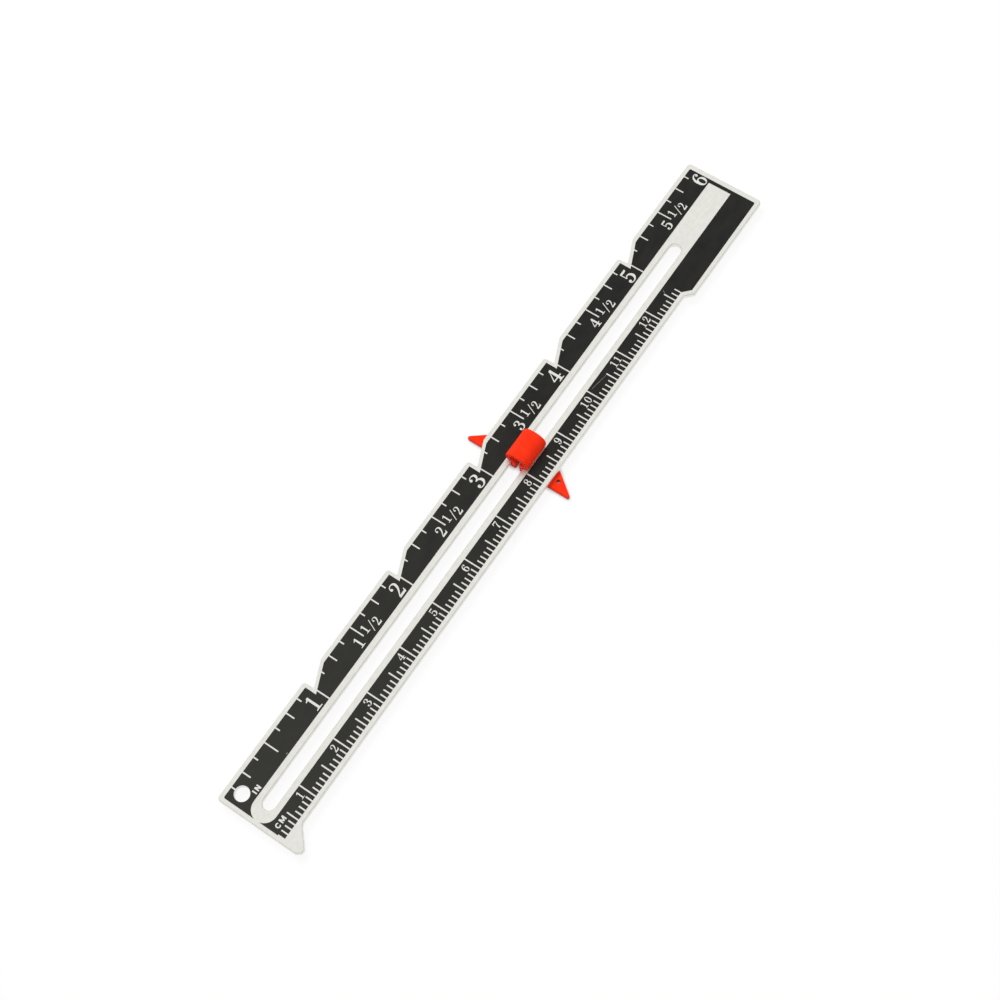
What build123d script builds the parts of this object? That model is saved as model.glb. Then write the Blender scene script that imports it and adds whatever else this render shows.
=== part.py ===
from build123d import *
import os

os.makedirs("parts", exist_ok=True)

# Sewing gauge: a notched aluminium ruler blade with a printed face and a snap-in plastic slider.
# All sizes are in millimetres. X runs along the blade from the zero end, Y across it with the
# inch scale at +Y, and Z up out of the printed face. The origin lies on the table, under the
# middle of the blade's length and of its slot.

# Blade
blade_length = 152.4
blade_thickness = 1.0
inch_edge = 8.2  # from the slot's middle line out to the stepped edge
cm_edge = 6.95  # from the slot's middle line out to the straight edge
wide_end_edge = 8.45  # the straight edge stands out this far at the far end
wide_end_length = 24.2  # from the far end
front_edge_round = 0.3
back_edge_bevel = 0.12
slot_edge_bevel = 0.12
blade_corner_round = 0.75

# Slot
slot_width = 2.6
slot_start = 3.3  # from the zero end
slot_end_margin = 16.8  # whole metal left between the slot and the far end

# Hanging and compass hole
hole_diameter = 2.8
hole_from_zero_end = 3.25
hole_from_slot = 5.0

# Scales
inch_pitch = 25.4  # from one whole inch to the next
inch_parts = 8
centimetre_pitch = 10.0
centimetre_parts = 10

# Steps in the inch edge, one at each whole inch
notch_depth = 2.2
notch_ramp_length = 5.1
notch_shoulder_round = 0.6
notch_root_round = 0.25

# Point turner, the hook at the zero end
turner_reach = 10.0  # from the slot's middle line out to the tip
turner_root = 4.9  # from the zero end along the straight edge
turner_tip_width = 0.8
turner_tip_setback = 0.7
turner_shoulder = 1.0  # where the end edge starts to draw in, back from the tip
turner_tip_round = 0.35
turner_root_round = 1.6

# Printed face
print_thickness = 0.04
print_border = 0.92  # bare metal left round the print
notch_border = 0.72
far_border = 1.1
print_corner_round = 0.3
bare_stripe_width = 4.96  # bare metal on both sides of the slot
stripe_start = 0.85  # from the zero end
end_bar_width = 0.74  # print that joins the two scales past the stripe
hole_border = 0.08

# Graduations, cut through the print
mark_width = 0.28
eighth_mark = 1.0
quarter_mark = 1.8
half_mark = 3.05
ramp_mark = 1.35  # the short mark that starts on a step's ramp
millimetre_mark = 1.42
half_centimetre_mark = 2.5

# Slider
running_gap = 0.05  # between the slider's arms and the back of the blade
neck_gap = 0.1  # between the slider's neck and each side of the slot
seat_gap = 0.1  # between the saddle's feet and the front of the blade
reading = 80.4  # where the slider stands, from the zero end
saddle_length = 6.2
saddle_width = 5.0
saddle_height = 3.4  # above the front of the blade
saddle_wall = 0.85
saddle_top_round = 1.68
saddle_foot_round = 0.72
saddle_neck_round = 0.46
saddle_end_bevel = 0.12
arm_thickness = 1.0
arm_reach = 11.3  # from the slot's middle line out to each tip
arm_shoulder = 3.75  # each arm keeps the saddle's length out to here
arm_tip_width = 0.5
arm_tip_round = 0.2
arm_edge_bevel = 0.15
arm_bend_round = 0.4  # under the bend from each arm into the neck
pin_hole_diameter = 0.8
pin_hole_along_share = 0.56  # of an arm's taper, from its shoulder to its tip
pin_hole_across_share = 0.59  # of the arm's width there, from the reading edge

overrun = 1.0  # how far a cut runs past what it cuts

# Levels
blade_back = arm_thickness + running_gap
blade_front = blade_back + blade_thickness

# Places along the blade, from the zero end
slot_end = blade_length - slot_end_margin
print_end = blade_length - far_border
wide_end_start = blade_length - wide_end_length
straight_edge_end = wide_end_start - (wide_end_edge - cm_edge)
eighth = inch_pitch / inch_parts
millimetre = centimetre_pitch / centimetre_parts

# Half sizes across the slot
slot_half = slot_width / 2
neck_half = slot_half - neck_gap
stripe_half = bare_stripe_width / 2


def along(distance):
    """The X place of a distance from the zero end."""
    return distance - blade_length / 2


# A step at each whole inch that leaves room for its ramp: its corner on the inch edge
steps = int((blade_length - notch_ramp_length) / inch_pitch)
step_places = [(along(n * inch_pitch), inch_edge) for n in range(1, steps + 1)]


def step_cut(border):
    """The wedge that one step takes out of the inch edge, grown by a border."""
    with BuildSketch() as cut:
        with BuildLine():
            Polyline(
                (0, overrun), (0, -notch_depth), (notch_ramp_length, 0),
                (notch_ramp_length, overrun), close=True,
            )
        make_face()
        if border:
            offset(amount=border, kind=Kind.INTERSECTION, mode=Mode.REPLACE)
    return cut.sketch


def plain_face():
    """The blade's face before its steps: straight at the inch edge, wide at the far end."""
    with BuildSketch() as face:
        with BuildLine():
            Polyline(
                (along(0), inch_edge), (along(0), -cm_edge),
                (along(straight_edge_end), -cm_edge),
                (along(wide_end_start), -wide_end_edge),
                (along(blade_length), -wide_end_edge), (along(blade_length), inch_edge),
                close=True,
            )
        make_face()
    return face.sketch


def turner_face():
    """The point turner, a hooked corner that stands out past the straight edge."""
    with BuildSketch() as face:
        with BuildLine():
            Polyline(
                (along(0), 0), (along(0), turner_shoulder - turner_reach),
                (along(turner_tip_setback), -turner_reach),
                (along(turner_tip_setback + turner_tip_width), -turner_reach),
                (along(turner_root), -cm_edge), (along(turner_root), 0), close=True,
            )
        make_face()
    return face.sketch


def corner_near(sketch, x, y, level):
    """The corner of a flat outline that lies nearest to a place."""
    return sketch.vertices().sort_by_distance((x, y, level))[0]


# Blade: one stamped plate
with BuildPart() as blade:
    with BuildSketch(Plane.XY.offset(blade_back)) as outline:
        add(plain_face())
        add(turner_face())
        with Locations(*step_places):
            add(step_cut(0), mode=Mode.SUBTRACT)
        rounds = [
            (along(0), inch_edge, blade_corner_round),
            (along(blade_length), inch_edge, blade_corner_round),
            (along(blade_length), -wide_end_edge, blade_corner_round),
            (along(0), turner_shoulder - turner_reach, turner_tip_round),
            (along(turner_tip_setback), -turner_reach, turner_tip_round),
            (along(turner_tip_setback + turner_tip_width), -turner_reach, turner_tip_round),
            (along(turner_root), -cm_edge, turner_root_round),
        ]
        for x, y in step_places:
            rounds.append((x, y, notch_shoulder_round))
            rounds.append((x, y - notch_depth, notch_root_round))
        for x, y, radius in rounds:
            fillet(corner_near(outline, x, y, blade_back), radius)
    extrude(amount=blade_thickness)
    fillet(blade.faces().sort_by(Axis.Z)[-1].outer_wire().edges(), front_edge_round)
    chamfer(blade.faces().sort_by(Axis.Z)[0].outer_wire().edges(), back_edge_bevel)
    with BuildSketch(Plane.XY.offset(blade_back)):
        with Locations((along(hole_from_zero_end), hole_from_slot)):
            Circle(hole_diameter / 2)
    extrude(amount=blade_thickness, mode=Mode.SUBTRACT)
    with BuildSketch(Plane.XY.offset(blade_back)):
        with Locations((along((slot_start + slot_end) / 2), 0)):
            SlotOverall(slot_end - slot_start, slot_width)
    extrude(amount=blade_thickness, mode=Mode.SUBTRACT)
    front_openings = blade.faces().sort_by(Axis.Z)[-1].inner_wires()
    chamfer(front_openings.sort_by(lambda wire: wire.length)[-1].edges(), slot_edge_bevel)
blade.part.label = "blade"
export_step(blade.part, "parts/blade.step")


def cut_marks(distances, low, high):
    """Cut bare lines across the print at distances from the zero end, between two Y places."""
    with Locations(*[(along(distance), (low + high) / 2) for distance in distances]):
        Rectangle(mark_width, high - low, mode=Mode.SUBTRACT)


def cut_inch_scale():
    """Whole inches run to the bare stripe; halves, quarters and eighths start at the edge."""
    top = inch_edge - print_border
    places = range(1, int(print_end / eighth) + 1)
    wholes = [k for k in places if k % inch_parts == 0]
    on_ramps = [k + 1 for k in wholes]
    halves = [k for k in places if k % inch_parts == inch_parts / 2]
    quarters = [k for k in places if k % (inch_parts / 2) == inch_parts / 4]
    eighths = [k for k in places if k % 2 and k not in on_ramps]
    cut_marks([k * eighth for k in wholes], 0, inch_edge)
    for marks, reach in ((halves, half_mark), (quarters, quarter_mark),
                         (eighths, eighth_mark), (on_ramps, ramp_mark)):
        cut_marks([k * eighth for k in marks], top - reach, inch_edge)


def cut_centimetre_scale():
    """Whole centimetres run to the bare stripe; the others start at the straight edge."""
    bottom = print_border - cm_edge
    half = centimetre_parts / 2
    places = range(1, round(straight_edge_end / millimetre) + 1)
    wholes = [k for k in places if k % centimetre_parts == 0]
    halves = [k for k in places if k % centimetre_parts == half]
    others = [k for k in places if k % half]
    cut_marks([k * millimetre for k in wholes], -cm_edge, 0)
    cut_marks([k * millimetre for k in halves], -cm_edge, bottom + half_centimetre_mark)
    cut_marks([k * millimetre for k in others], -cm_edge, bottom + millimetre_mark)


# Print: one baked coat on the blade's face, cut through by the graduations
with BuildPart() as scale_print:
    with BuildSketch(Plane.XY.offset(blade_front)) as coat:
        add(plain_face())
        offset(amount=-print_border, kind=Kind.INTERSECTION, mode=Mode.REPLACE)
        with Locations((along(print_end), 0)):
            Rectangle(overrun, 2 * (inch_edge + wide_end_edge), align=(Align.MIN, Align.CENTER),
                      mode=Mode.SUBTRACT)
        for x, y in (
            (along(print_border), inch_edge - print_border),
            (along(print_border), print_border - cm_edge),
            (along(print_end), inch_edge - print_border),
            (along(print_end), print_border - wide_end_edge),
        ):
            fillet(corner_near(coat, x, y, blade_front), print_corner_round)
        with Locations(*step_places):
            add(step_cut(notch_border), mode=Mode.SUBTRACT)
        with Locations((along(hole_from_zero_end), hole_from_slot)):
            Circle(hole_diameter / 2 + hole_border, mode=Mode.SUBTRACT)
        stripe_length = print_end - end_bar_width - stripe_start - stripe_half
        with Locations((along(stripe_start + stripe_half), 0)):
            Circle(stripe_half, mode=Mode.SUBTRACT)
            Rectangle(stripe_length, bare_stripe_width, align=(Align.MIN, Align.CENTER),
                      mode=Mode.SUBTRACT)
        cut_inch_scale()
        cut_centimetre_scale()
    extrude(amount=print_thickness)
scale_print.part.label = "scale_print"
export_step(scale_print.part, "parts/scale_print.step")


def saddle_loop():
    """The sprung loop: up through the slot, out over the blade's face and back down."""
    neck_line = neck_half - saddle_wall / 2
    side_line = (saddle_width - saddle_wall) / 2
    foot_line = blade_front + seat_gap + saddle_wall / 2
    top_line = blade_front + saddle_height - saddle_wall / 2
    with BuildPart() as loop:
        with BuildSketch(Plane.YZ.offset(along(reading))):
            with BuildLine():
                FilletPolyline(
                    (-neck_line, arm_bend_round), (-neck_line, foot_line),
                    (-side_line, foot_line), (-side_line, top_line),
                    (side_line, top_line), (side_line, foot_line),
                    (neck_line, foot_line), (neck_line, arm_bend_round),
                    radius=[saddle_neck_round, saddle_foot_round, saddle_top_round,
                            saddle_top_round, saddle_foot_round, saddle_neck_round],
                )
            trace(line_width=saddle_wall)
        extrude(amount=saddle_length)
        rims = loop.faces().filter_by(Axis.X).edges()
        chamfer([e for e in rims if e.center().Z > arm_thickness], saddle_end_bevel)
    return loop.part


# Slider: one plastic moulding, two arms behind the blade joined by a sprung loop through the slot
loop_part = saddle_loop()
with BuildPart() as slider:
    edge = along(reading)
    far = along(reading + saddle_length)
    with BuildSketch() as arms:
        with BuildLine():
            Polyline(
                (edge, arm_reach), (edge + arm_tip_width, arm_reach), (far, arm_shoulder),
                (far, -arm_shoulder), (edge + arm_tip_width, -arm_reach), (edge, -arm_reach),
                close=True,
            )
        make_face()
        for x in (edge, edge + arm_tip_width):
            for y in (arm_reach, -arm_reach):
                fillet(corner_near(arms, x, y, 0), arm_tip_round)
        pin_hole_y = arm_shoulder + pin_hole_along_share * (arm_reach - arm_shoulder)
        arm_width = saddle_length - pin_hole_along_share * (saddle_length - arm_tip_width)
        with Locations((edge + pin_hole_across_share * arm_width, -pin_hole_y)):
            Circle(pin_hole_diameter / 2, mode=Mode.SUBTRACT)
        with Locations(((edge + far) / 2, 0)):
            Rectangle(saddle_length + 2 * overrun, 2 * (neck_half - saddle_wall),
                      mode=Mode.SUBTRACT)
    extrude(amount=arm_thickness)
    bends = slider.edges().filter_by(Axis.X).group_by(Axis.Z)[0]
    fillet([e for e in bends if abs(e.center().Y) < neck_half], arm_bend_round)
    levels = slider.edges().group_by(Axis.Z)
    rims = [e for e in levels[0] + levels[-1] if not e.is_closed]
    chamfer([e for e in rims if abs(e.center().Y) > neck_half], arm_edge_bevel)
    add(loop_part)
slider.part.label = "slider"
export_step(slider.part, "parts/slider.step")
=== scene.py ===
import math
import bpy
from mathutils import Matrix, Vector
from mathutils.geometry import delaunay_2d_cdt


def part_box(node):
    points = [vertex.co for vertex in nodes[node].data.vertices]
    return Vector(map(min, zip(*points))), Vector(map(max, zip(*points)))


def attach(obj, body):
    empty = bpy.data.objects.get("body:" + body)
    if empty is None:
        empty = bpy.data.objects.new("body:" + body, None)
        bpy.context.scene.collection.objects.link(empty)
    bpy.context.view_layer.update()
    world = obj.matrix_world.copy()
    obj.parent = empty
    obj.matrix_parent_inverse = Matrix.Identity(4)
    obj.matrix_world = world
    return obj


# Sewing gauge: the looks. Places on the blade are in millimetres from its zero end, and from
# the slot's middle line with the inch scale at plus, as on the real ruler; mm() turns them
# into metres.

MM = 0.001
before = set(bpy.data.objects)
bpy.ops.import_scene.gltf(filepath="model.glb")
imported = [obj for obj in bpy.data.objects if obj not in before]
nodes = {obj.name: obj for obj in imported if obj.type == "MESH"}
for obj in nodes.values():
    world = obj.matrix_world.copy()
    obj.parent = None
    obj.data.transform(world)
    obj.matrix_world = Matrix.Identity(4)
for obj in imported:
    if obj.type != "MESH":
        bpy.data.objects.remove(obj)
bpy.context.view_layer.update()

zero_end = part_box("blade")[0].x
coat_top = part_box("scale_print")[1].z

inch = 25.4
centimetre = 10.0
whole_inches = range(1, 7)
half_inches = range(1, 6)
centimetres = range(1, 13)

# Numerals and unit marks are bare metal, flush with the coat that they are cut out of. A foot is
# the base line's place across the blade, and before and after are measured from the tick.
letter_top = coat_top + 0.008 * MM
letter_base = coat_top - 0.01 * MM
digit_width = 0.66  # as drawn, for a height of 1

whole_height = 3.06
whole_foot = 2.83
whole_before = 2.3
half_digit_height = 2.2
half_digit_foot = 3.1
half_digit_before = 1.5
fraction_height = 1.8
fraction_top_foot = 3.9
fraction_top_after = 0.55
slash_after = 1.85
fraction_low_foot = 3.08
fraction_low_after = 3.0
centimetre_height = 1.55
centimetre_foot = -4.42
centimetre_before = 0.85
unit_height = 1.02
inch_mark_place = (4.5, 2.8)
centimetre_mark_place = (1.82, -4.17)

# Colours, linear
metal_dull = (0.8, 0.795, 0.745)
metal_bright = (0.87, 0.865, 0.815)
metal_rubbed = (0.9, 0.9, 0.87)
ink_deep = (0.006, 0.006, 0.005)
ink_cloudy = (0.012, 0.012, 0.0095)
ink_painted_highlight = (0.04, 0.04, 0.034)
ink_rubbed = (0.09, 0.09, 0.085)
ink_speck = (0.16, 0.155, 0.14)
ink_scratched = (0.36, 0.36, 0.33)
red_deep = (0.85, 0.026, 0.006)
red_bright = (0.92, 0.038, 0.01)
red_painted_shade = (0.22, 0.014, 0.008)
red_scuffed = (0.7, 0.02, 0.008)

# Where a noise's values mostly lie
noise_span = (0.3, 0.7)

# Painted highlight: the coat is painted lighter towards the zero end, standing in for the light
# reflected there
highlight_length = 95 * MM
highlight_share = 0.5

# Faint wear in the coat: (start, end, width)
scratches = [
    ((100.6, -2.98), (105.0, -3.74), 0.09 * MM),
    ((125.2, -3.5), (125.7, -2.9), 0.1 * MM),
    ((13.1, 2.85), (13.5, 2.7), 0.16 * MM),
]

# Painted shade on the slider's lower sides, darkest near the table: heights and share
shade_heights = (0.1 * MM, 0.95 * MM)
shade_share = 0.8

# The table reaches the horizon. Its paint, how white the camera sees it, and how near a thing
# shades it
floor_half = 30.0
floor_paint = 0.86
floor_whiteness = 0.88
contact_reach = 0.75 * MM

# The room's dim and bright ends: (facing its bright side, level)
room_bright_side = (0.25, 0.45, 0.86)
room_dim = (0.05, 0.6)
room_bright = (0.9, 0.98)

lamp_place = (0.2, 0.5, 0.75)
lamp_size = 0.5
lamp_watts = 4.4

# The camera as fitted to the ruler's own marks in the photograph
camera_place = (-0.09859, -0.09642, 0.31186)
camera_right = (0.56604, -0.82071, -0.07764)
camera_back = (-0.28234, -0.28149, 0.91709)
camera_lens = 66.51
camera_sensor = 36.0


def mm(x, y):
    """A place on the blade in metres, from millimetres along it and across it."""
    return zero_end + x * MM, y * MM


# Outlines: each glyph is a list of (1 to fill or 0 to clear, outline), one unit high on a base
# line at 0

def ring_points(x, y, rx, ry, count=40):
    return [(x + rx * math.cos(a), y + ry * math.sin(a))
            for a in (2 * math.pi * k / count for k in range(count))]


def box_points(x0, y0, x1, y1):
    return [(x0, y0), (x1, y0), (x1, y1), (x0, y1)]


def smooth(points, per_span=8):
    """Points on a smooth curve through places that carry a pen width."""
    ends = [points[0]] + points + [points[-1]]
    out = []
    for a, b, c, d in zip(ends, ends[1:], ends[2:], ends[3:]):
        for k in range(per_span):
            t = k / per_span
            out.append(tuple(
                0.5 * (2 * q + (r - p) * t + (2 * p - 5 * q + 4 * r - s) * t ** 2
                       + (3 * q - p - 3 * r + s) * t ** 3)
                for p, q, r, s in zip(a, b, c, d)))
    return out + [points[-1]]


def pen_points(*points):
    """The outline of a stroke whose width swells and thins along its middle line."""
    line = smooth(list(points))
    left, right = [], []
    for k, (x, y, w) in enumerate(line):
        x0, y0, _ = line[max(k - 1, 0)]
        x1, y1, _ = line[min(k + 1, len(line) - 1)]
        run = math.hypot(x1 - x0, y1 - y0)
        nx, ny = (y0 - y1) / run, (x1 - x0) / run
        left.append((x + nx * w / 2, y + ny * w / 2))
        right.append((x - nx * w / 2, y - ny * w / 2))
    return left + right[::-1]


def zero_glyph():
    return [(1, ring_points(0.33, 0.5, 0.3, 0.51)), (0, ring_points(0.33, 0.5, 0.155, 0.45))]


def one_glyph():
    return [
        (1, box_points(0.27, 0.02, 0.42, 1.0)),
        (1, [(0.1, 0.86), (0.12, 0.81), (0.27, 0.84), (0.42, 1.0), (0.36, 1.0)]),
        (1, [(0.1, 0), (0.6, 0), (0.6, 0.05), (0.42, 0.09), (0.27, 0.09), (0.1, 0.05)]),
    ]


def two_glyph():
    return [
        (1, pen_points((0.06, 0.71, 0.05), (0.13, 0.91, 0.06), (0.3, 0.975, 0.06),
                       (0.47, 0.9, 0.12), (0.5, 0.73, 0.15), (0.42, 0.5, 0.12),
                       (0.25, 0.28, 0.08), (0.08, 0.09, 0.07))),
        (1, ring_points(0.125, 0.735, 0.085, 0.085)),
        (1, [(0.04, 0), (0.59, 0), (0.635, 0.27), (0.59, 0.27), (0.54, 0.155), (0.1, 0.14)]),
    ]


def three_glyph():
    return [
        (1, pen_points((0.07, 0.78, 0.05), (0.15, 0.93, 0.06), (0.29, 0.975, 0.06),
                       (0.45, 0.9, 0.11), (0.48, 0.76, 0.14), (0.42, 0.62, 0.1),
                       (0.24, 0.54, 0.05))),
        (1, pen_points((0.24, 0.54, 0.05), (0.42, 0.5, 0.09), (0.52, 0.37, 0.15),
                       (0.52, 0.2, 0.15), (0.41, 0.06, 0.1), (0.25, 0.02, 0.06),
                       (0.11, 0.07, 0.06), (0.06, 0.2, 0.05))),
        (1, ring_points(0.13, 0.8, 0.085, 0.085)),
        (1, ring_points(0.125, 0.2, 0.09, 0.09)),
    ]


def four_glyph():
    return [
        (1, box_points(0.36, 0.02, 0.51, 0.98)),
        (1, [(0.02, 0.32), (0.42, 1.0), (0.51, 1.0), (0.36, 0.84), (0.1, 0.32)]),
        (1, box_points(0.02, 0.25, 0.64, 0.33)),
        (1, [(0.23, 0), (0.64, 0), (0.64, 0.045), (0.51, 0.08), (0.36, 0.08), (0.23, 0.045)]),
    ]


def five_glyph():
    return [
        (1, [(0.12, 1.0), (0.14, 0.86), (0.5, 0.86), (0.56, 1.0)]),
        (1, box_points(0.12, 0.47, 0.17, 0.98)),
        (1, pen_points((0.14, 0.47, 0.05), (0.27, 0.58, 0.07), (0.42, 0.56, 0.1),
                       (0.52, 0.4, 0.15), (0.51, 0.2, 0.15), (0.4, 0.06, 0.1),
                       (0.25, 0.02, 0.06), (0.11, 0.07, 0.06), (0.06, 0.19, 0.05))),
        (1, ring_points(0.125, 0.2, 0.09, 0.09)),
    ]


def six_glyph():
    return [
        (1, ring_points(0.34, 0.31, 0.27, 0.325)),
        (0, ring_points(0.345, 0.3, 0.125, 0.265)),
        (1, pen_points((0.55, 0.84, 0.05), (0.5, 0.95, 0.06), (0.38, 0.975, 0.07),
                       (0.22, 0.85, 0.11), (0.13, 0.6, 0.14), (0.135, 0.34, 0.13))),
        (1, ring_points(0.49, 0.83, 0.075, 0.08)),
    ]


def seven_glyph():
    return [
        (1, box_points(0.07, 0.87, 0.61, 1.0)),
        (1, [(0.07, 1.0), (0.045, 0.7), (0.09, 0.7), (0.16, 0.87)]),
        (1, pen_points((0.59, 0.93, 0.05), (0.44, 0.62, 0.09), (0.34, 0.34, 0.14),
                       (0.31, 0.0, 0.17))),
    ]


def eight_glyph():
    return [
        (1, ring_points(0.33, 0.755, 0.245, 0.255)),
        (1, ring_points(0.33, 0.275, 0.285, 0.285)),
        (0, ring_points(0.33, 0.765, 0.125, 0.19)),
        (0, ring_points(0.33, 0.265, 0.145, 0.215)),
    ]


def nine_glyph():
    """A six turned half round."""
    return [(solid, [(digit_width - x, 1 - y) for x, y in outline])
            for solid, outline in six_glyph()]


def slash_glyph():
    return [(1, [(0, 0), (0.07, 0), (0.5, 1), (0.43, 1)])]


def i_glyph():
    return [(1, box_points(0.02, 0, 0.27, 1))]


def n_glyph():
    return [
        (1, box_points(0.02, 0, 0.25, 1)),
        (1, box_points(0.58, 0, 0.81, 1)),
        (1, [(0.02, 1), (0.29, 1), (0.81, 0), (0.54, 0)]),
    ]


def c_glyph():
    return [(1, pen_points((0.76, 0.71, 0.23), (0.63, 0.86, 0.22), (0.44, 0.89, 0.22),
                           (0.22, 0.77, 0.23), (0.13, 0.5, 0.24), (0.22, 0.23, 0.23),
                           (0.44, 0.11, 0.22), (0.63, 0.14, 0.22), (0.76, 0.29, 0.23)))]


def m_glyph():
    return [
        (1, box_points(0.02, 0, 0.24, 1)),
        (1, box_points(0.8, 0, 1.02, 1)),
        (1, [(0.02, 1), (0.28, 1), (0.62, 0.08), (0.42, 0.08)]),
        (1, [(1.02, 1), (0.76, 1), (0.42, 0.08), (0.62, 0.08)]),
    ]


# Each letter's outline, how many times as wide as drawn it is cut, and the step to the next letter
GLYPHS = {
    "0": (zero_glyph, 1.05, 0.8), "1": (one_glyph, 1.0, 0.8), "2": (two_glyph, 1.02, 0.8),
    "3": (three_glyph, 1.13, 0.8), "4": (four_glyph, 1.13, 0.8), "5": (five_glyph, 1.13, 0.8),
    "6": (six_glyph, 1.12, 0.8), "7": (seven_glyph, 1.08, 0.8), "8": (eight_glyph, 1.08, 0.8),
    "9": (nine_glyph, 1.12, 0.8), "/": (slash_glyph, 1.0, 0.55), "I": (i_glyph, 1.05, 0.62),
    "N": (n_glyph, 1.08, 1.1), "C": (c_glyph, 1.0, 1.16), "M": (m_glyph, 1.12, 1.3),
}


# Numerals

def anticlockwise(outline):
    area = sum(a[0] * b[1] - b[0] * a[1] for a, b in zip(outline, outline[1:] + outline[:1]))
    return outline if area > 0 else outline[::-1]


def filled(shapes):
    """Triangles that cover a glyph: each later shape adds to or clears what lies under it."""
    points, faces = [], []
    for _, outline in shapes:
        first = len(points)
        points.extend(Vector(p) for p in anticlockwise(outline))
        faces.append(list(range(first, len(points))))
    spots, _, triangles, _, _, sources = delaunay_2d_cdt(points, [], faces, 1, 1e-6)
    kept = [t for t, under in zip(triangles, sources) if under and shapes[max(under)][0]]
    return spots, kept


def rim_edges(triangles):
    """The edges that only one triangle has, each in its triangle's direction."""
    rim = {}
    for a, b, c in triangles:
        for start, end in ((a, b), (b, c), (c, a)):
            if (end, start) in rim:
                del rim[end, start]
            else:
                rim[start, end] = True
    return list(rim)


def plate_faces(triangles, top, base):
    """Faces of a thin plate whose upper and lower points are numbered from top and from base."""
    faces = []
    for a, b, c in triangles:
        faces.append((top + a, top + b, top + c))
        faces.append((base + c, base + b, base + a))
    for start, end in rim_edges(triangles):
        faces.append((top + end, top + start, base + start, base + end))
    return faces


def words_mesh(name, words):
    """One thin raised mesh of several words, each (text, height, x, y), its left foot at x, y."""
    vertices, faces = [], []
    for text, height, x, y in words:
        for letter in text:
            glyph, width, advance = GLYPHS[letter]
            spots, triangles = filled(glyph())
            top = len(vertices)
            faces += plate_faces(triangles, top, top + len(spots))
            for level in (letter_top, letter_base):
                for spot in spots:
                    place = mm(x + spot.x * width * height, y + spot.y * height)
                    vertices.append((*place, level))
            x += advance * height
    mesh = bpy.data.meshes.new(name)
    mesh.from_pydata(vertices, [], faces)
    mesh.validate()
    piece = bpy.data.objects.new(name, mesh)
    bpy.context.scene.collection.objects.link(piece)
    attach(piece, "ruler")
    return piece


def half_width(letter, height):
    return digit_width / 2 * GLYPHS[letter][1] * height


def inch_numerals():
    words = []
    for n in whole_inches:
        left = n * inch - whole_before - half_width(str(n), whole_height)
        words.append((str(n), whole_height, left, whole_foot))
    return words_mesh("inch_numerals", words)


def half_inch_numerals():
    """Each half inch's mark: the whole number before its tick, and one half after it."""
    words = []
    for n in half_inches:
        tick = (n + 0.5) * inch
        left = tick - half_digit_before - half_width(str(n), half_digit_height)
        words += [
            (str(n), half_digit_height, left, half_digit_foot),
            ("1", fraction_height, tick + fraction_top_after, fraction_top_foot),
            ("/", half_digit_height, tick + slash_after, half_digit_foot),
            ("2", fraction_height, tick + fraction_low_after, fraction_low_foot),
        ]
    return words_mesh("half_inch_numerals", words)


def centimetre_numerals():
    """Each number ends just before its tick."""
    words = []
    for n in centimetres:
        text = str(n)
        width = 2 * half_width(text[-1], centimetre_height)
        width += (len(text) - 1) * GLYPHS[text[0]][2] * centimetre_height
        left = n * centimetre - centimetre_before - width
        words.append((text, centimetre_height, left, centimetre_foot))
    return words_mesh("centimetre_numerals", words)


def unit_marks():
    return words_mesh("unit_marks", [
        ("IN", unit_height, *inch_mark_place),
        ("CM", unit_height, *centimetre_mark_place),
    ])


# Material nodes

def new_material(name):
    material = bpy.data.materials.new(name)
    material.use_nodes = True
    tree = material.node_tree
    tree.nodes.clear()
    output = tree.nodes.new("ShaderNodeOutputMaterial")
    shader = tree.nodes.new("ShaderNodeBsdfPrincipled")
    tree.links.new(shader.outputs[0], output.inputs["Surface"])
    return material, tree, shader


def object_place(tree, scale):
    """Texture coordinates in the object's own metres, times a scale for each axis."""
    place = tree.nodes.new("ShaderNodeTexCoord")
    mapping = tree.nodes.new("ShaderNodeMapping")
    mapping.inputs["Scale"].default_value = scale
    tree.links.new(place.outputs["Object"], mapping.inputs["Vector"])
    return mapping.outputs["Vector"]


def object_axis(tree, axis):
    split = tree.nodes.new("ShaderNodeSeparateXYZ")
    tree.links.new(object_place(tree, (1, 1, 1)), split.inputs[0])
    return split.outputs[axis]


def noise(tree, cells, detail=4.0, roughness=0.55):
    """Noise with a number of cells to the metre along each axis."""
    node = tree.nodes.new("ShaderNodeTexNoise")
    node.inputs["Scale"].default_value = 1.0
    node.inputs["Detail"].default_value = detail
    node.inputs["Roughness"].default_value = roughness
    tree.links.new(object_place(tree, cells), node.inputs["Vector"])
    return node.outputs["Fac"]


def spread(tree, value, span, result=(0, 1)):
    """A value's span stretched over the result, and held at its ends outside the span."""
    node = tree.nodes.new("ShaderNodeMapRange")
    node.inputs["From Min"].default_value = span[0]
    node.inputs["From Max"].default_value = span[1]
    node.inputs["To Min"].default_value = result[0]
    node.inputs["To Max"].default_value = result[1]
    tree.links.new(value, node.inputs["Value"])
    return node.outputs["Result"]


def mixed(tree, factor, one, two):
    """A mix of two colours, of which the first may be another node's result."""
    node = tree.nodes.new("ShaderNodeMixRGB")
    if isinstance(one, tuple):
        node.inputs["Color1"].default_value = (*one, 1)
    else:
        tree.links.new(one, node.inputs["Color1"])
    node.inputs["Color2"].default_value = (*two, 1)
    tree.links.new(factor, node.inputs["Fac"])
    return node.outputs["Color"]


def maths(tree, operation, one, two):
    node = tree.nodes.new("ShaderNodeMath")
    node.operation = operation
    tree.links.new(one, node.inputs[0])
    tree.links.new(two, node.inputs[1])
    return node.outputs[0]


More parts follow.
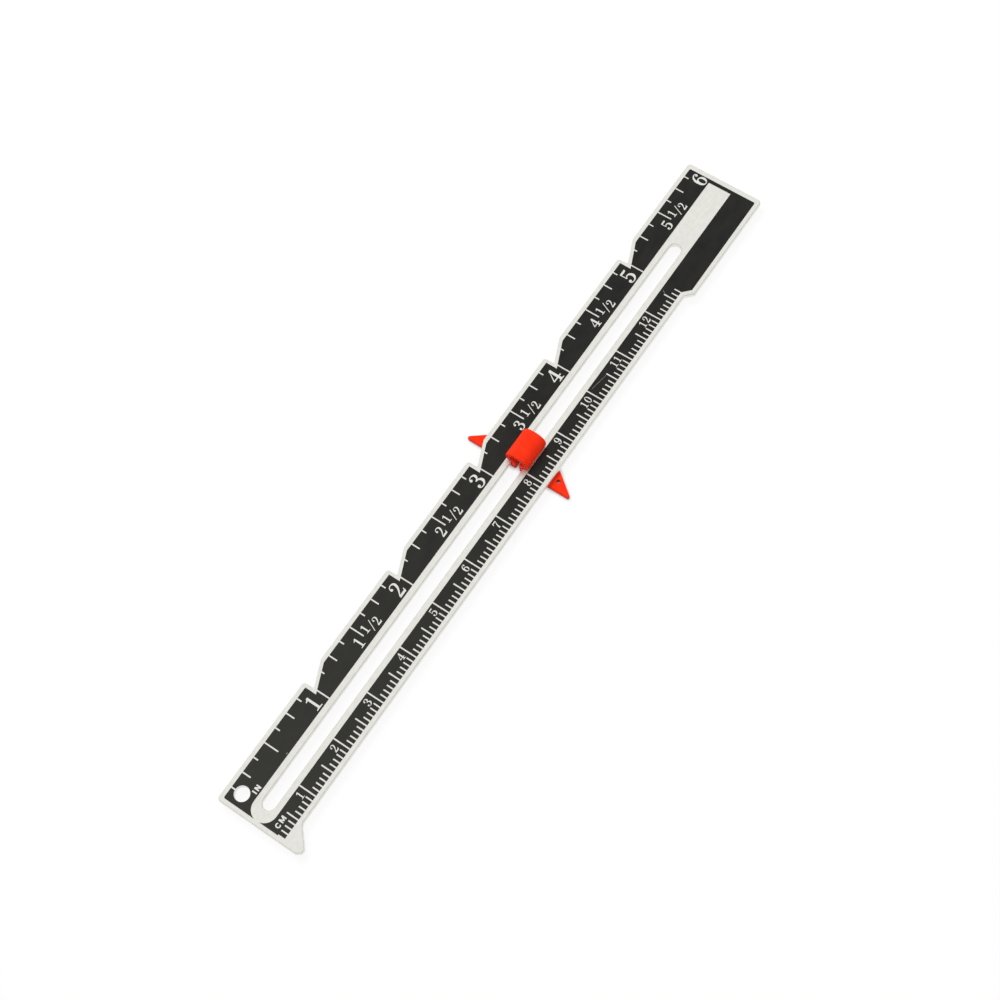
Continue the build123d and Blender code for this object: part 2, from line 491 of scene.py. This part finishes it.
def edge_mask(tree, radius, broken):
    """Rises from 0 to 1 towards sharp edges within a radius, broken up by a noise."""
    flat_to_edge = (1.0, 0.8)
    bevel = tree.nodes.new("ShaderNodeBevel")
    bevel.inputs["Radius"].default_value = radius
    plain = tree.nodes.new("ShaderNodeNewGeometry")
    turned = tree.nodes.new("ShaderNodeVectorMath")
    turned.operation = "DOT_PRODUCT"
    tree.links.new(bevel.outputs["Normal"], turned.inputs[0])
    tree.links.new(plain.outputs["Normal"], turned.inputs[1])
    near = spread(tree, turned.outputs["Value"], flat_to_edge)
    return maths(tree, "MULTIPLY", near, spread(tree, broken, (0.42, 0.62)))


def scratch_mask(tree, start, end, width):
    """One on a straight thin line between two places on the blade, nothing elsewhere."""
    outside_to_inside = (1.0, 0.8)
    (x0, y0), (x1, y1) = mm(*start), mm(*end)
    place = tree.nodes.new("ShaderNodeTexCoord")
    local = tree.nodes.new("ShaderNodeMapping")
    local.vector_type = "TEXTURE"
    local.inputs["Location"].default_value = ((x0 + x1) / 2, (y0 + y1) / 2, 0)
    local.inputs["Rotation"].default_value = (0, 0, math.atan2(y1 - y0, x1 - x0))
    local.inputs["Scale"].default_value = (math.hypot(x1 - x0, y1 - y0) / 2, width / 2, 1)
    size = tree.nodes.new("ShaderNodeVectorMath")
    size.operation = "ABSOLUTE"
    split = tree.nodes.new("ShaderNodeSeparateXYZ")
    tree.links.new(place.outputs["Object"], local.inputs["Vector"])
    tree.links.new(local.outputs["Vector"], size.inputs[0])
    tree.links.new(size.outputs["Vector"], split.inputs[0])
    larger = maths(tree, "MAXIMUM", split.outputs["X"], split.outputs["Y"])
    return spread(tree, larger, outside_to_inside)


def speck_mask(tree, cells, size):
    """One on small round specks, a random one in each cell, each a share of its cell's size."""
    voronoi = tree.nodes.new("ShaderNodeTexVoronoi")
    voronoi.inputs["Scale"].default_value = 1.0
    tree.links.new(object_place(tree, (cells, cells, cells)), voronoi.inputs["Vector"])
    return spread(tree, voronoi.outputs["Distance"], (size, 0.6 * size))


def bumped(tree, shader, height, distance, strength):
    node = tree.nodes.new("ShaderNodeBump")
    node.inputs["Distance"].default_value = distance
    node.inputs["Strength"].default_value = strength
    tree.links.new(height, node.inputs["Height"])
    tree.links.new(node.outputs["Normal"], shader.inputs["Normal"])


# Materials

def satin_aluminium():
    """Rolled and tumbled sheet: fine lines along the blade, soft cloudy gloss."""
    material, tree, shader = new_material("satin_aluminium")
    clouds = noise(tree, cells=(900, 1400, 900), detail=3)
    lines = noise(tree, cells=(2500, 32000, 32000), detail=3)
    colour = mixed(tree, spread(tree, clouds, noise_span), metal_dull, metal_bright)
    rubbed = edge_mask(tree, 0.25 * MM, clouds)
    tree.links.new(mixed(tree, rubbed, colour, metal_rubbed), shader.inputs["Base Color"])
    gloss = spread(tree, lines, (0.25, 0.75), (0.36, 0.52))
    tree.links.new(gloss, shader.inputs["Roughness"])
    shader.inputs["Metallic"].default_value = 1.0
    bumped(tree, shader, lines, distance=0.004 * MM, strength=0.6)
    return material


def baked_ink():
    """Black screen ink, baked on: warm charcoal with a faint orange peel, specks and scratches."""
    material, tree, shader = new_material("baked_ink")
    clouds = noise(tree, cells=(300, 500, 300), detail=4)
    grain = noise(tree, cells=(14000, 14000, 14000), detail=2)
    colour = mixed(tree, spread(tree, clouds, noise_span), ink_deep, ink_cloudy)
    # Painted highlight: the coat turns lighter towards the zero end, for the light reflected there
    highlight_span = (zero_end, zero_end + highlight_length)
    painted_highlight = spread(tree, object_axis(tree, "X"), highlight_span, (highlight_share, 0))
    colour = mixed(tree, painted_highlight, colour, ink_painted_highlight)
    colour = mixed(tree, edge_mask(tree, 0.06 * MM, clouds), colour, ink_rubbed)
    colour = mixed(tree, speck_mask(tree, cells=210, size=0.022), colour, ink_speck)
    for start, end, width in scratches:
        patchy = noise(tree, cells=(2600, 2600, 2600))
        worn = maths(tree, "MULTIPLY", scratch_mask(tree, start, end, width), patchy)
        colour = mixed(tree, worn, colour, ink_scratched)
    tree.links.new(colour, shader.inputs["Base Color"])
    gloss = spread(tree, grain, noise_span, (0.42, 0.58))
    tree.links.new(gloss, shader.inputs["Roughness"])
    shader.inputs["Specular IOR Level"].default_value = 0.2
    bumped(tree, shader, grain, distance=0.006 * MM, strength=0.5)
    return material


def moulded_red():
    """Orange-red styrene: faintly glossy, a little light passes into it, with painted shade low
    down.
    """
    material, tree, shader = new_material("moulded_red")
    clouds = noise(tree, cells=(600, 600, 600), detail=3)
    grain = noise(tree, cells=(9000, 9000, 9000), detail=2)
    colour = mixed(tree, spread(tree, clouds, noise_span), red_deep, red_bright)
    # Painted shade: the slider's colour darkens towards the table, for the shade on its lower
    # sides
    low_shade = spread(tree, object_axis(tree, "Z"), shade_heights, (shade_share, 0))
    colour = mixed(tree, low_shade, colour, red_painted_shade)
    scuffed = edge_mask(tree, 0.1 * MM, clouds)
    tree.links.new(mixed(tree, scuffed, colour, red_scuffed), shader.inputs["Base Color"])
    gloss = spread(tree, grain, noise_span, (0.34, 0.48))
    tree.links.new(gloss, shader.inputs["Roughness"])
    shader.inputs["Subsurface Weight"].default_value = 0.15
    shader.inputs["Subsurface Radius"].default_value = (1.0, 0.25, 0.1)
    shader.inputs["Subsurface Scale"].default_value = 0.6 * MM
    shader.inputs["Specular IOR Level"].default_value = 0.03
    bumped(tree, shader, grain, distance=0.008 * MM, strength=0.4)
    return material


def white_table():
    """Pale paint that the camera and reflections see as near white, but for contact shadows."""
    material = bpy.data.materials.new("white_table")
    material.use_nodes = True
    tree = material.node_tree
    tree.nodes.clear()
    output = tree.nodes.new("ShaderNodeOutputMaterial")
    paint = tree.nodes.new("ShaderNodeBsdfDiffuse")
    paint.inputs["Color"].default_value = (floor_paint, floor_paint, floor_paint, 1)
    glow = tree.nodes.new("ShaderNodeEmission")
    path = tree.nodes.new("ShaderNodeLightPath")
    contact = tree.nodes.new("ShaderNodeAmbientOcclusion")
    contact.inputs["Distance"].default_value = contact_reach
    mix = tree.nodes.new("ShaderNodeMixShader")
    seen = maths(tree, "MAXIMUM", path.outputs["Is Camera Ray"], path.outputs["Is Glossy Ray"])
    white = spread(tree, seen, (0, 1), (0, floor_whiteness))
    unshaded = maths(tree, "MULTIPLY", contact.outputs["AO"], contact.outputs["AO"])
    tree.links.new(maths(tree, "MULTIPLY", white, unshaded), mix.inputs["Fac"])
    tree.links.new(paint.outputs[0], mix.inputs[1])
    tree.links.new(glow.outputs[0], mix.inputs[2])
    tree.links.new(mix.outputs[0], output.inputs["Surface"])
    return material


def dress(piece, material):
    piece.data.materials.clear()
    piece.data.materials.append(material)


# Floor, light and camera

def white_floor():
    """A pale table with the gauge's soft shadow on it."""
    mesh = bpy.data.meshes.new("floor")
    corners = box_points(-floor_half, -floor_half, floor_half, floor_half)
    mesh.from_pydata([(*corner, 0) for corner in corners], [], [(0, 1, 2, 3)])
    floor = bpy.data.objects.new("floor", mesh)
    bpy.context.scene.collection.objects.link(floor)
    dress(floor, white_table())


def white_room():
    """A bright tent, brightest high up on the inch side, that falls off away from there."""
    world = bpy.data.worlds.new("room")
    bpy.context.scene.world = world
    world.use_nodes = True
    tree = world.node_tree
    tree.nodes.clear()
    output = tree.nodes.new("ShaderNodeOutputWorld")
    room = tree.nodes.new("ShaderNodeBackground")
    place = tree.nodes.new("ShaderNodeTexCoord")
    facing = tree.nodes.new("ShaderNodeVectorMath")
    facing.operation = "DOT_PRODUCT"
    facing.inputs[1].default_value = Vector(room_bright_side).normalized()
    ramp = tree.nodes.new("ShaderNodeValToRGB")
    for stop, (position, level) in zip(ramp.color_ramp.elements, (room_dim, room_bright)):
        stop.position = position
        stop.color = (level, level, level, 1)
    tree.links.new(place.outputs["Generated"], facing.inputs[0])
    tree.links.new(facing.outputs["Value"], ramp.inputs["Fac"])
    tree.links.new(ramp.outputs["Color"], room.inputs["Color"])
    tree.links.new(room.outputs[0], output.inputs["Surface"])


def soft_lamp():
    """One soft key lamp above the inch side. Reflections don't show it, only the room."""
    data = bpy.data.lights.new("key", "AREA")
    data.shape = "DISK"
    data.size = lamp_size
    data.energy = lamp_watts
    lamp = bpy.data.objects.new("key", data)
    lamp.location = lamp_place
    lamp.rotation_mode = "QUATERNION"
    lamp.rotation_quaternion = (-Vector(lamp_place)).to_track_quat("-Z", "Y")
    lamp.visible_glossy = False
    bpy.context.scene.collection.objects.link(lamp)


def photo_camera():
    data = bpy.data.cameras.new("camera")
    data.sensor_width = camera_sensor
    data.lens = camera_lens
    data.clip_start = 0.01
    camera = bpy.data.objects.new("camera", data)
    right = Vector(camera_right).normalized()
    back = Vector(camera_back).normalized()
    up = back.cross(right).normalized()
    turn = Matrix((right, up, back)).transposed().to_4x4()
    camera.matrix_world = Matrix.Translation(camera_place) @ turn
    bpy.context.scene.collection.objects.link(camera)
    bpy.context.scene.camera = camera


aluminium = satin_aluminium()
dress(nodes["blade"], aluminium)
dress(nodes["scale_print"], baked_ink())
dress(nodes["slider"], moulded_red())
for numerals in (inch_numerals(), half_inch_numerals(), centimetre_numerals(), unit_marks()):
    dress(numerals, aluminium)

white_floor()
white_room()
soft_lamp()
photo_camera()
bpy.context.scene.view_settings.view_transform = "Standard"
